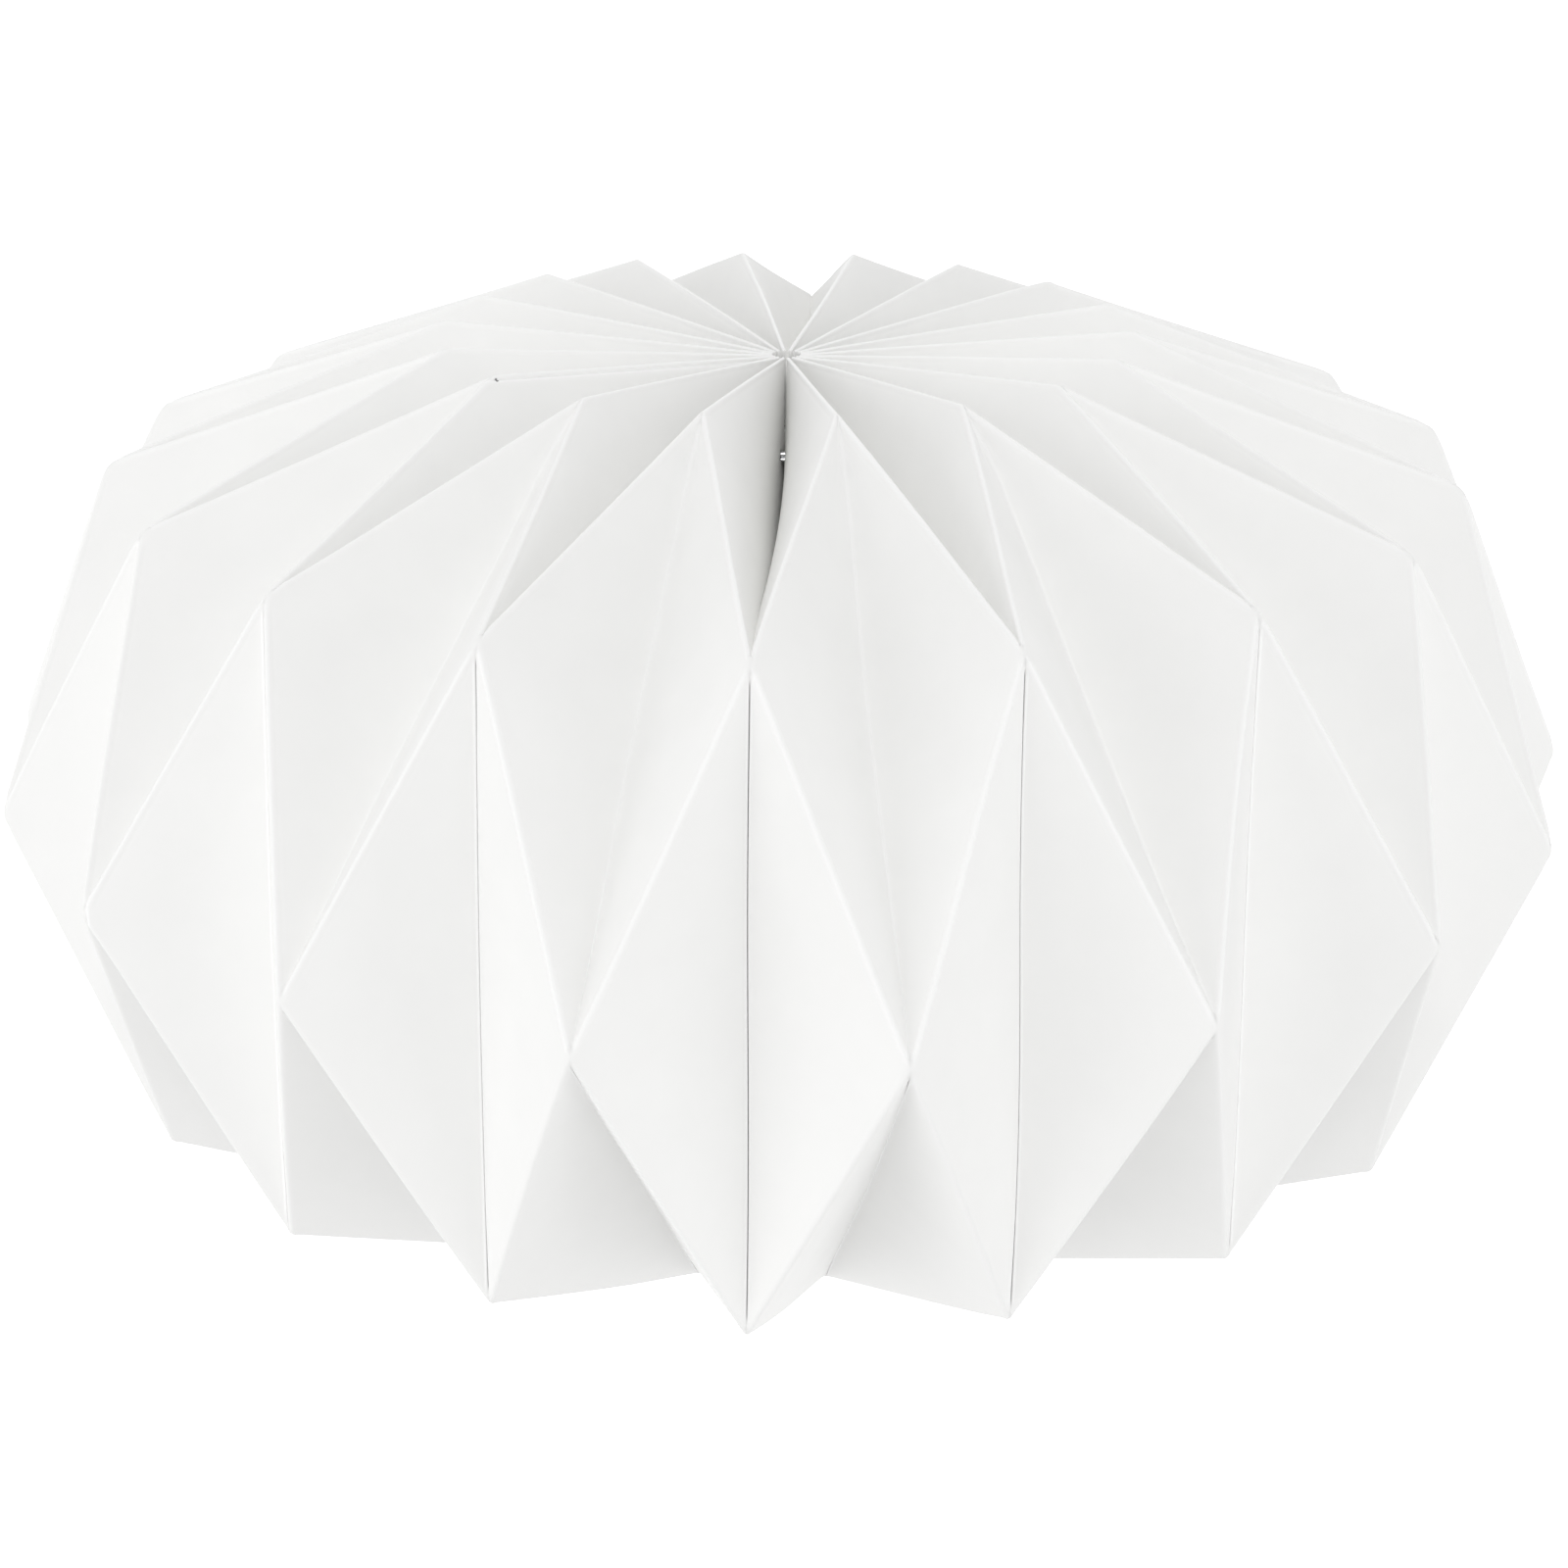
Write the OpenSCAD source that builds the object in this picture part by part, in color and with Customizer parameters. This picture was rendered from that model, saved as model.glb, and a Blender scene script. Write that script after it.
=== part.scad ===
// Pleated lantern shade: eighteen folded paper pleats hung on one split ring.
// The frame's origin is the centre of the split ring, +Z up; the valley at -Y lies between pleats 18 and 1.

/* [Folding pattern] */
// Flat distance between neighbouring vertical creases
crease_spacing = 44.3; // [44:0.1:44.6]
// Flat height between neighbouring rows of crease points
row_step = 78.6; // [78:0.1:79]
// Flat height of the strip left below the lowest row of crease points
bottom_margin = 12; // [6:1:20]

/* [Folded shape] */
// Radius of the small opening that the ridges leave at the top
top_hole_r = 3.6; // [3.4:0.1:4.2]
// Height of the inner ends of the ridges above the ring
ridge_start_z = 22.3; // [21.5:0.1:23]
// Radius of the shoulder points, where the top ridges end
shoulder_r = 86.3; // [85:0.1:87]
// Height of the shoulder points above the ring
shoulder_z = 29.65; // [29:0.05:30.5]
// Angle at which the surface falls from the shoulder to the next row
shoulder_fall = 19.9; // [19.5:0.1:20.3]

/* [Sheet] */
// Thickness of the paper
sheet_t = 0.4; // [0.3:0.05:0.5]
// Clearance left between neighbouring pleats along a valley
pleat_gap = 0.3; // [0.2:0.05:0.4]
// Diameter of the hole punched in each panel for the ring
punch_d = 3.6; // [3.4:0.1:4]

/* [Split ring] */
// Radius of the ring at the middle of its wire
ring_r = 15; // [14:0.1:16]
// Width of the flattened wire, measured along the ring's radius
wire_w = 2.1; // [1.8:0.1:2.2]
// Height of one turn of the wire
wire_h = 1.3; // [1.1:0.05:1.35]

/* [Hidden] */
pleat_count = 18;
half_angle = 180 / pleat_count;
panel_steps = 8;          // straight rulings that make up one twisted top panel
front_lap_pleat = 16;     // pleats whose outer panel is two layers thick, where one sheet ends on the next
back_lap_pleat = 7;
turn_gap = 0.06;          // slit between the two turns of the ring
web_w = 1.2;              // width of the bridge that joins the two turns
paper_colour = [0.97, 0.965, 0.95];
lap_colour = [0.93, 0.925, 0.91];
steel_colour = [0.75, 0.76, 0.78];

// Points of the folded sheet are [radius, height] in two kinds of plane through the axis: ridge planes
// through the middle of a pleat and valley planes between pleats. Paper doesn't stretch, so each new row
// follows from the two rows above it and the flat lengths of the folding pattern.
diagonal = norm([crease_spacing, row_step]);

function unit(v) = v / norm(v);

// A point at given distances from one point in its own plane and one point in the neighbouring plane
function fold_point(same, other, d_same, d_other, side) =
    let (
        foot = [other.x * cos(half_angle), other.y],
        reach = sqrt(pow(d_other, 2) - pow(other.x * sin(half_angle), 2)),
        span = norm(same - foot),
        along = (pow(span, 2) + pow(reach, 2) - pow(d_same, 2)) / (2 * span),
        across = sqrt(pow(reach, 2) - pow(along, 2)),
        u = (same - foot) / span
    )
    foot + along * u + side * across * [-u.y, u.x];

ridge_start = [top_hole_r, ridge_start_z];
shoulder = [shoulder_r, shoulder_z];
shoulder_reach = sqrt(pow(diagonal, 2) - pow(shoulder_r * sin(half_angle), 2));
upper_tip = [
    shoulder_r * cos(half_angle) + shoulder_reach * cos(shoulder_fall),
    shoulder_z - shoulder_reach * sin(shoulder_fall)
];
top_margin = norm(shoulder - ridge_start);
valley_start = fold_point(upper_tip, ridge_start, top_margin + row_step, crease_spacing, -1);
waist = fold_point(shoulder, upper_tip, 2 * row_step, diagonal, 1);
lower_tip = fold_point(upper_tip, waist, 2 * row_step, diagonal, 1);
foot_point = fold_point(waist, lower_tip, 2 * row_step, diagonal, 1);
below_foot = fold_point(lower_tip, foot_point, 2 * row_step, diagonal, 1);
hem_ridge = foot_point + bottom_margin * unit([ridge_start.x - shoulder.x, shoulder.y - ridge_start.y]);
hem_valley = lower_tip + (row_step + bottom_margin) * unit(below_foot - lower_tip);

// The two columns of points that bound half a pleat, from the ring end to the hem
ridge_column = concat(
    [for (i = [0 : panel_steps]) ridge_start + (shoulder - ridge_start) * i / panel_steps],
    [waist, foot_point, hem_ridge]
);
valley_column = concat(
    [for (i = [0 : panel_steps]) valley_start + (upper_tip - valley_start) * i / panel_steps],
    [lower_tip, hem_valley]
);
ridge_n = len(ridge_column);
valley_n = len(valley_column);

// From [radius, height] to a point of the pleat, whose middle plane is XZ
valley_dir = [cos(half_angle), sin(half_angle), 0];
valley_in = [sin(half_angle), -cos(half_angle), 0];
function on_ridge(p) = [p.x, 0, p.y];
function on_valley(p) = p.x * valley_dir + [0, 0, p.y] + pleat_gap / 2 * valley_in;

function facet_normal(a, b, c) = unit(cross(b - a, c - a));
function panel_normal(i, column_step) =
    unit(cross(column_step, on_valley(valley_column[i]) - on_ridge(ridge_column[i])));

top_ridge_step = on_ridge(shoulder) - on_ridge(ridge_start);
top_valley_step = on_valley(upper_tip) - on_valley(valley_start);
n_upper = facet_normal(on_ridge(shoulder), on_ridge(waist), on_valley(upper_tip));
n_side = facet_normal(on_valley(upper_tip), on_ridge(waist), on_valley(lower_tip));
n_lower = facet_normal(on_ridge(waist), on_ridge(foot_point), on_valley(lower_tip));
n_under = facet_normal(on_ridge(foot_point), on_ridge(hem_ridge), on_valley(lower_tip));

// The facets that meet at each point of the two columns
function ridge_normals(i) =
    i < panel_steps ? [panel_normal(i, top_ridge_step)]
    : i == panel_steps ? [panel_normal(i, top_ridge_step), n_upper]
    : i == panel_steps + 1 ? [n_upper, n_side, n_lower]
    : i == panel_steps + 2 ? [n_lower, n_under]
    : [n_under];
function valley_normals(i) =
    i < panel_steps ? [panel_normal(i, top_valley_step)]
    : i == panel_steps ? [panel_normal(i, top_valley_step), n_upper, n_side]
    : i == panel_steps + 1 ? [n_side, n_lower, n_under]
    : [n_under];

// The step, within a plane along dir and Z, that goes one unit below every facet of a list
function sum(list, i = 0) = i == len(list) - 1 ? list[i] : list[i] + sum(list, i + 1);
function below(normals, dir) =
    let (
        flat = [for (n = normals) [n * dir, n.z]],
        s = sum(flat),
        xx = sum([for (f = flat) f.x * f.x]),
        xy = sum([for (f = flat) f.x * f.y]),
        yy = sum([for (f = flat) f.y * f.y]),
        det = xx * yy - xy * xy,
        w = len(normals) == 1
            ? flat[0] / (flat[0] * flat[0])
            : [(yy * s.x - xy * s.y) / det, (xx * s.y - xy * s.x) / det]
    )
    w.x * dir + [0, 0, w.y];

// The two columns again, a depth below the outer face of the paper
function ridge_points(depth) =
    [for (i = [0 : ridge_n - 1]) on_ridge(ridge_column[i]) - depth * below(ridge_normals(i), [1, 0, 0])];
function valley_mitre(i, depth) = on_valley(valley_column[i]) - depth * below(valley_normals(i), valley_dir);

// Along the top valley the panels are nearly parallel and a full mitre would hang far below the fold, so
// the paper ends one thickness below it: its foot lies in the valley plane and its lips on the inner faces
valley_run = unit(upper_tip - valley_start);
valley_down = valley_run.y * valley_dir - [0, 0, valley_run.x];
function foot_at(i) = on_valley(valley_column[i]) + sheet_t * valley_down;
function lip_at(i, depth) =
    let (n = panel_normal(i, top_valley_step))
    foot_at(i) - (depth + sheet_t * (n * valley_down)) / (n * valley_in) * valley_in;
function valley_outer() = [for (p = valley_column) on_valley(p)];
function valley_inner(depth) =
    [for (i = [0 : valley_n - 1]) i < panel_steps ? lip_at(i, depth) : valley_mitre(i, depth)];
function valley_feet() = [for (i = [0 : panel_steps - 1]) foot_at(i)];
function mirrored(points) = [for (p = points) [p.x, -p.y, p.z]];

// Triangles of half a pleat's skin, as indices from the first ridge point r and the first valley point v
function half_skin(r, v) = concat(
    [for (i = [0 : panel_steps - 1]) each [[r + i, v + i, v + i + 1], [r + i, v + i + 1, r + i + 1]]],
    [
        [r + panel_steps, v + panel_steps, r + panel_steps + 1],
        [v + panel_steps, v + panel_steps + 1, r + panel_steps + 1],
        [r + panel_steps + 1, v + panel_steps + 1, r + panel_steps + 2],
        [r + panel_steps + 2, v + panel_steps + 1, v + panel_steps + 2],
        [r + panel_steps + 2, v + panel_steps + 2, r + panel_steps + 3]
    ]
);
function flipped(faces) = [for (f = faces) [f[2], f[1], f[0]]];

// Triangles between an edge of the outer skin and the same edge of the inner skin, count points long
function rim(outer, inner, count) =
    [for (i = [0 : count - 2]) each [
        [outer + i, inner + i, outer + i + 1],
        [outer + i + 1, inner + i, inner + i + 1]
    ]];
function cap(outer_a, outer_b, inner_a, inner_b) = [[outer_a, inner_a, outer_b], [outer_b, inner_a, inner_b]];

// Triangles of a pleat's side in the valley plane: down to the feet, across to the lips, then full mitres
function valley_side(outer, inner, feet) =
    let (last = panel_steps - 1)
    concat(
        rim(outer, feet, panel_steps),
        [
            [outer + last, feet + last, outer + panel_steps],
            [outer + panel_steps, feet + last, inner + panel_steps]
        ],
        rim(outer + panel_steps, inner + panel_steps, valley_n - panel_steps),
        rim(feet, inner, panel_steps),
        [[feet + last, inner + last, inner + panel_steps]]
    );

// One pleat of the sheet, with its ridge in the XZ plane and both side panels
module folded_pleat() {
    skin = ridge_n + 2 * valley_n;
    points = concat(
        ridge_points(0), valley_outer(), mirrored(valley_outer()),
        ridge_points(sheet_t), valley_inner(sheet_t), mirrored(valley_inner(sheet_t)),
        valley_feet(), mirrored(valley_feet())
    );
    v = ridge_n;
    w = ridge_n + valley_n;
    feet = 2 * skin;
    far_feet = feet + panel_steps;
    faces = concat(
        half_skin(0, v),
        flipped(half_skin(0, w)),
        flipped(half_skin(skin, skin + v)),
        half_skin(skin, skin + w),
        valley_side(v, skin + v, feet),
        flipped(valley_side(w, skin + w, far_feet)),
        cap(0, v, skin, skin + v),
        [[v, skin + v, feet]],
        flipped(cap(0, w, skin, skin + w)),
        [[w, far_feet, skin + w]],
        flipped(cap(ridge_n - 1, w - 1, skin + ridge_n - 1, skin + w - 1)),
        cap(ridge_n - 1, skin - 1, skin + ridge_n - 1, 2 * skin - 1)
    );
    polyhedron(points, faces);
}

// The end panel of one sheet, glued under the first panel of the next
module folded_lap() {
    skin = ridge_n + valley_n;
    points = concat(
        ridge_points(sheet_t), valley_inner(sheet_t),
        ridge_points(2 * sheet_t), valley_inner(2 * sheet_t)
    );
    v = ridge_n;
    faces = concat(
        half_skin(0, v),
        flipped(half_skin(skin, skin + v)),
        flipped(rim(0, skin, ridge_n)),
        rim(v, skin + v, valley_n),
        cap(0, v, skin, skin + v),
        flipped(cap(ridge_n - 1, skin - 1, skin + ridge_n - 1, 2 * skin - 1))
    );
    polyhedron(points, faces);
}

// The round hole that the ring passes through, along the tangent to the ring
module ring_hole() {
    hole_length = 2 * ring_r * tan(half_angle);
    translate([ring_r, 0, 0])
        rotate([90, 0, 0])
            cylinder(d = punch_d, h = hole_length, center = true, $fn = 48);
}

// Turns a pleat to its place, counted from the valley at -Y towards +X
module at_pleat(k) {
    rotate([0, 0, (k - 0.5) * 2 * half_angle - 90])
        children();
}

module pleat(k) {
    color(paper_colour)
        at_pleat(k)
            difference() {
                folded_pleat();
                ring_hole();
            }
}

module glued_lap(k) {
    color(lap_colour)
        at_pleat(k)
            difference() {
                folded_lap();
                ring_hole();
            }
}

// Section of one turn of the wire: flat with round edges
module wire_section() {
    flat_w = wire_w - wire_h;
    square([flat_w, wire_h], center = true);
    for (side = [-1, 1])
        translate([side * flat_w / 2, 0])
            circle(d = wire_h, $fn = 32);
}

// Two turns of flattened spring wire, lying one on the other
module split_ring() {
    color(steel_colour)
        rotate_extrude($fn = 96)
            translate([ring_r, 0]) {
                for (side = [-1, 1])
                    translate([0, side * (wire_h + turn_gap) / 2])
                        wire_section();
                square([web_w, wire_h], center = true);
            }
}

pleat(1);  // pleat_01
pleat(2);  // pleat_02
pleat(3);  // pleat_03
pleat(4);  // pleat_04
pleat(5);  // pleat_05
pleat(6);  // pleat_06
pleat(7);  // pleat_07
pleat(8);  // pleat_08
pleat(9);  // pleat_09
pleat(10);  // pleat_10
pleat(11);  // pleat_11
pleat(12);  // pleat_12
pleat(13);  // pleat_13
pleat(14);  // pleat_14
pleat(15);  // pleat_15
pleat(16);  // pleat_16
pleat(17);  // pleat_17
pleat(18);  // pleat_18
glued_lap(front_lap_pleat);  // glued_lap_front
glued_lap(back_lap_pleat);  // glued_lap_back
split_ring();
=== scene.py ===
"""Pleated paper lampshade: die-scored sheet, two glued laps and the split ring it hangs on."""

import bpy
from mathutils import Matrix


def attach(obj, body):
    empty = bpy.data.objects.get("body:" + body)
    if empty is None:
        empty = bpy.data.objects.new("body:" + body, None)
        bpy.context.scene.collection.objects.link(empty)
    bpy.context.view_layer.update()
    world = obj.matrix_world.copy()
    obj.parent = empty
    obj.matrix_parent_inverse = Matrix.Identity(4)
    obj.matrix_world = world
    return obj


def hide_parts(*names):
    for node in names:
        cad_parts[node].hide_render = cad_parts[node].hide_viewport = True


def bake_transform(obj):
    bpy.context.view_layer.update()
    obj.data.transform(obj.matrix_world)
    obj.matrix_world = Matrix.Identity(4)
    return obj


bl_info = {
    "name": "Pleated Paper Shade",
    "version": (1, 0, 0),
    "blender": (4, 5, 0),
    "location": "3D Viewport > Sidebar > Shade",
    "description": "Folds a gathered lampshade from scored paper and sets it in a plain studio",
    "category": "Add Mesh",
}

import math

import bpy
import numpy as np
from mathutils import Matrix, Vector

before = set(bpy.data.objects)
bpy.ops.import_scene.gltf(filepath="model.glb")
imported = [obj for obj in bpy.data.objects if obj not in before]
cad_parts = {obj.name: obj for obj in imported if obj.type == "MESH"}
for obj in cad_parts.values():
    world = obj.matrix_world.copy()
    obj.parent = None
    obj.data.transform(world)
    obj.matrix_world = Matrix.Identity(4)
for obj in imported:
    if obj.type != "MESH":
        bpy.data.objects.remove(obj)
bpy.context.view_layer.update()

MM = 0.001
PLEATS = 18
HALF_ANGLE = math.pi / PLEATS
RING_RADIUS = 15.0
# Pleats whose right-hand panel is two layers thick
LAPPED_PLEATS = {16: "glued_lap_front", 7: "glued_lap_back"}
# Distances from a crease, in mm, at which the mesh has a line, so that beads and grooves are smooth
FINE_LINES = [0, 0.12, 0.26, 0.42, 0.6, 0.8, 1.0, 1.16, 1.24, 1.5, 1.9, 2.6, 3.8, 5.6, 8.4, 12.2, 16.4]
PLAIN_LINES = [0, 0.5, 1.24, 3.0, 7.0, 13.0]
# Height of the sheet's outer face over the folding pattern, in mm
OUTER_FACE = 0.3
# The softboxes: name, azimuth and elevation in degrees, size in metres, power in watts
SOFTBOXES = [
    ("softbox_front", 0, 40, 0.6, 8.6),
    ("softbox_left", -55, 10, 1.6, 8.3),
    ("softbox_right", 55, 10, 1.6, 5.3),
    ("softbox_low_left", -70, -25, 1.6, 7.8),
    ("softbox_low_right", 70, -25, 1.6, 6.8),
    ("softbox_back", 180, 35, 1.6, 12.5),
]
SOFTBOX_DISTANCE = 2.4
# Strength of the light that the studio walls throw; the camera sees them at 1.0
WALL_LIGHT = 0.68


# ---------------------------------------------------------------- settings


class ShadeSettings(bpy.types.PropertyGroup):
    crease_spacing: bpy.props.FloatProperty(
        name="Panel width", description="Flat distance between neighbouring vertical creases, in mm",
        default=44.3, min=44.0, max=44.6)
    row_step: bpy.props.FloatProperty(
        name="Row step", description="Flat height between rows of crease points, in mm",
        default=78.6, min=78.0, max=79.0)
    bottom_margin: bpy.props.FloatProperty(
        name="Bottom margin", description="Flat height of the strip below the lowest crease points, in mm",
        default=12.0, min=6.0, max=20.0)
    top_hole_radius: bpy.props.FloatProperty(
        name="Top opening", description="Radius of the opening that the ridges leave at the top, in mm",
        default=3.6, min=3.4, max=4.2)
    ridge_start_height: bpy.props.FloatProperty(
        name="Ridge start", description="Height of the ridges' inner ends above the ring, in mm",
        default=22.3, min=21.5, max=23.0)
    shoulder_radius: bpy.props.FloatProperty(
        name="Shoulder radius", description="Radius of the points where the top ridges end, in mm",
        default=86.3, min=85.0, max=87.0)
    shoulder_height: bpy.props.FloatProperty(
        name="Shoulder height", description="Height of the shoulder points above the ring, in mm",
        default=29.65, min=29.0, max=30.5)
    shoulder_fall: bpy.props.FloatProperty(
        name="Shoulder fall", description="Angle at which the surface falls from the shoulder",
        default=math.radians(19.9), subtype="ANGLE", unit="ROTATION")
    thickness: bpy.props.FloatProperty(
        name="Paper thickness", description="Thickness of the sheet, in mm", default=0.4, min=0.3, max=0.5)
    hole_diameter: bpy.props.FloatProperty(
        name="Punched hole", description="Diameter of the hole in each panel for the ring, in mm",
        default=3.6, min=3.4, max=4.0)
    fold_radius: bpy.props.FloatProperty(
        name="Fold rounding", description="Radius over which a crisp fold is rounded, in mm",
        default=0.7, min=0.3, max=2.0)
    point_radius: bpy.props.FloatProperty(
        name="Point rounding", description="Radius over which the folds' meeting points are softened, in mm",
        default=1.9, min=1.0, max=6.0)
    soft_radius: bpy.props.FloatProperty(
        name="Soft valley",
        description="Radius of the bend along the half-folded valley inside each pleat, in mm",
        default=5.5, min=1.0, max=20.0)
    unevenness: bpy.props.FloatProperty(
        name="Unevenness", description="How far the hand-folded sheet wanders from the ideal shape, in mm",
        default=0.7, min=0.0, max=2.0)
    paper_colour: bpy.props.StringProperty(
        name="Paper", description="Colour of the sheet, as sRGB hex", default="F8F8F7")
    shade_colour: bpy.props.StringProperty(
        name="Paper cloud", description="Darker tone of the paper's cloudy formation, as sRGB hex",
        default="F4F4F3")
    # Painted shade: the dark line at the bottom of each crisp valley stands for the shade in its groove
    valley_shade_colour: bpy.props.StringProperty(
        name="Valley line", description="Colour of the crushed line at the bottom of a valley, as sRGB hex",
        default="8C8C8C")
    # Whiter paint on ridges, partly stretched fibres and partly painted highlight, and painted highlight on
    # valley lips, the soft valley line and the lap edge
    whitening_highlight_colour: bpy.props.StringProperty(
        name="Score line", description="Colour of the stretched fibres on a ridge, as sRGB hex",
        default="FFFFFF")


class RingSettings(bpy.types.PropertyGroup):
    radius: bpy.props.FloatProperty(
        name="Radius", description="Radius of the ring at the middle of its wire, in mm", default=RING_RADIUS)
    wire_width: bpy.props.FloatProperty(
        name="Wire width", description="Width of the flattened wire along the ring's radius, in mm",
        default=2.1)
    wire_height: bpy.props.FloatProperty(
        name="Wire height", description="Height of one turn of the wire, in mm", default=1.3)
    turn_gap: bpy.props.FloatProperty(
        name="Turn gap", description="Slit between the two turns, in mm", default=0.06)
    crossover: bpy.props.FloatProperty(
        name="Crossover", description="Arc over which the wire steps from one turn down to the other",
        default=math.radians(32), subtype="ANGLE", unit="ROTATION")
    steel_colour: bpy.props.StringProperty(
        name="Steel", description="Colour of the nickel-plated wire, as sRGB hex", default="DEDFE0")


class StageSettings(bpy.types.PropertyGroup):
    floor_drop: bpy.props.FloatProperty(
        name="Floor drop", description="Depth of the floor below the ring", default=1.75, unit="LENGTH")
    floor_colour: bpy.props.StringProperty(
        name="Floor", description="Colour of the floor, as sRGB hex", default="FAFAFA")
    camera_azimuth: bpy.props.FloatProperty(
        name="Camera azimuth", description="Angle of the camera round the shade, from the front valley",
        default=math.radians(2.657), subtype="ANGLE", unit="ROTATION")
    camera_pitch: bpy.props.FloatProperty(
        name="Camera pitch", description="Angle at which the camera looks down",
        default=math.radians(21.125), subtype="ANGLE", unit="ROTATION")
    camera_roll: bpy.props.FloatProperty(
        name="Camera roll", description="Tilt of the camera about its own line of sight",
        default=math.radians(0.30), subtype="ANGLE", unit="ROTATION")
    camera_distance: bpy.props.FloatProperty(
        name="Camera distance", description="Distance of the camera from the shade's axis",
        default=0.8134, unit="LENGTH")
    camera_height: bpy.props.FloatProperty(
        name="Camera height", description="Height of the camera above the ring",
        default=0.2215, unit="LENGTH")
    lens: bpy.props.FloatProperty(
        name="Lens", description="Focal length of the camera, in mm", default=76.38)


# ---------------------------------------------------------------- materials


def linear(hex_colour):
    """An sRGB hex colour as linear RGBA."""
    channels = [int(hex_colour[i:i + 2], 16) / 255 for i in (0, 2, 4)]
    return tuple(c / 12.92 if c <= 0.04045 else ((c + 0.055) / 1.055) ** 2.4 for c in channels) + (1.0,)


def put(tree, kind, inputs=None, **settings):
    """Adds a node, sets its options, and fills its inputs with values or with other nodes' outputs."""
    node = tree.nodes.new(kind)
    for name, value in settings.items():
        setattr(node, name, value)
    for key, value in (inputs or {}).items():
        if isinstance(value, bpy.types.NodeSocket):
            tree.links.new(value, node.inputs[key])
        else:
            node.inputs[key].default_value = value
    return node


def new_material(name):
    """An empty material with a Principled shader, and that shader's node."""
    made = bpy.data.materials.new(name)
    made.use_nodes = True
    tree = made.node_tree
    tree.nodes.clear()
    shader = put(tree, "ShaderNodeBsdfPrincipled")
    out = put(tree, "ShaderNodeOutputMaterial")
    tree.links.new(shader.outputs["BSDF"], out.inputs["Surface"])
    return made, tree, shader


def die_scored_paper(shade, name, pinhole_shades=()):
    """Uncoated white card, scored in a press and folded by hand.

    Gives the eye a matt, chalky white with a faint cloudy formation, a fine fibre tooth, and
    whiter, slightly burnished lines on the creases: on the ridges partly stretched fibres and partly
    painted highlight, on valley lips, the soft valley and the lap edge painted highlight. A dark line
    at the bottom of each crisp valley is painted shade, and the dark dots at the pinholes are the
    painted shade seen through a hole.
    """
    made, tree, shader = new_material(name)
    place = put(tree, "ShaderNodeTexCoord").outputs["Object"]
    # Formation clouds of pressed pulp, about 14 mm across
    cloud = put(tree, "ShaderNodeTexNoise", {"Vector": place, "Scale": 1 / (14 * MM), "Detail": 3.0,
                                             "Roughness": 0.55})
    tone = put(tree, "ShaderNodeMix", {"Factor": cloud.outputs["Fac"], "A": linear(shade.shade_colour),
                                       "B": linear(shade.paper_colour)}, data_type="RGBA")
    # Fibres are 0.02 mm wide and can't show; the tooth is drawn at 0.7 mm
    tooth = put(tree, "ShaderNodeTexNoise", {"Vector": place, "Scale": 1 / (0.7 * MM), "Detail": 4.0,
                                             "Roughness": 0.6})
    score = put(tree, "ShaderNodeAttribute", attribute_name="score")
    # Whiter paint above 0: on the ridges partly stretched fibres and partly painted highlight, on lips, the
    # soft valley and the lap edge painted highlight
    ridge = put(tree, "ShaderNodeMix", {"Factor": score.outputs["Fac"], "A": tone.outputs["Result"],
                                        "B": linear(shade.whitening_highlight_colour)}, data_type="RGBA")
    # Painted shade: below 0 the attribute turns the colour towards the valley shade colour
    valley_shade = put(tree, "ShaderNodeMath", {0: score.outputs["Fac"], 1: -1.0},
                operation="MULTIPLY", use_clamp=True)
    valley = put(tree, "ShaderNodeMix", {"Factor": valley_shade.outputs["Value"], "A": ridge.outputs["Result"],
                                         "B": linear(shade.valley_shade_colour)}, data_type="RGBA")
    colour = valley.outputs["Result"]
    for point in pinhole_shades:
        near = put(tree, "ShaderNodeVectorMath", {0: place, 1: tuple(point)}, operation="DISTANCE")
        # Painted shade: a dark dot 0.9 mm across stands for the shade seen through the pinhole; no hole is
        # cut
        inside = put(tree, "ShaderNodeMapRange", {"Value": near.outputs["Value"], "From Min": 0.35 * MM,
                                                  "From Max": 0.6 * MM, "To Min": 1.0, "To Max": 0.0})
        spot = put(tree, "ShaderNodeMix", {"Factor": inside.outputs["Result"], "A": colour,
                                           "B": linear("5A5A5A")}, data_type="RGBA")
        colour = spot.outputs["Result"]
    worn = put(tree, "ShaderNodeMapRange", {"Value": cloud.outputs["Fac"], "To Min": 0.66, "To Max": 0.78})
    polished = put(tree, "ShaderNodeMath", {0: score.outputs["Fac"], 1: 0.12}, operation="MULTIPLY")
    rough = put(tree, "ShaderNodeMath", {0: worn.outputs["Result"], 1: polished.outputs["Value"]},
                operation="SUBTRACT")
    bump = put(tree, "ShaderNodeBump", {"Strength": 0.25, "Distance": 0.02 * MM,
                                        "Height": tooth.outputs["Fac"]})
    tree.links.new(colour, shader.inputs["Base Color"])
    tree.links.new(rough.outputs["Value"], shader.inputs["Roughness"])
    tree.links.new(bump.outputs["Normal"], shader.inputs["Normal"])
    shader.inputs["IOR"].default_value = 1.45
    shader.inputs["Specular IOR Level"].default_value = 0.3
    return made


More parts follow.
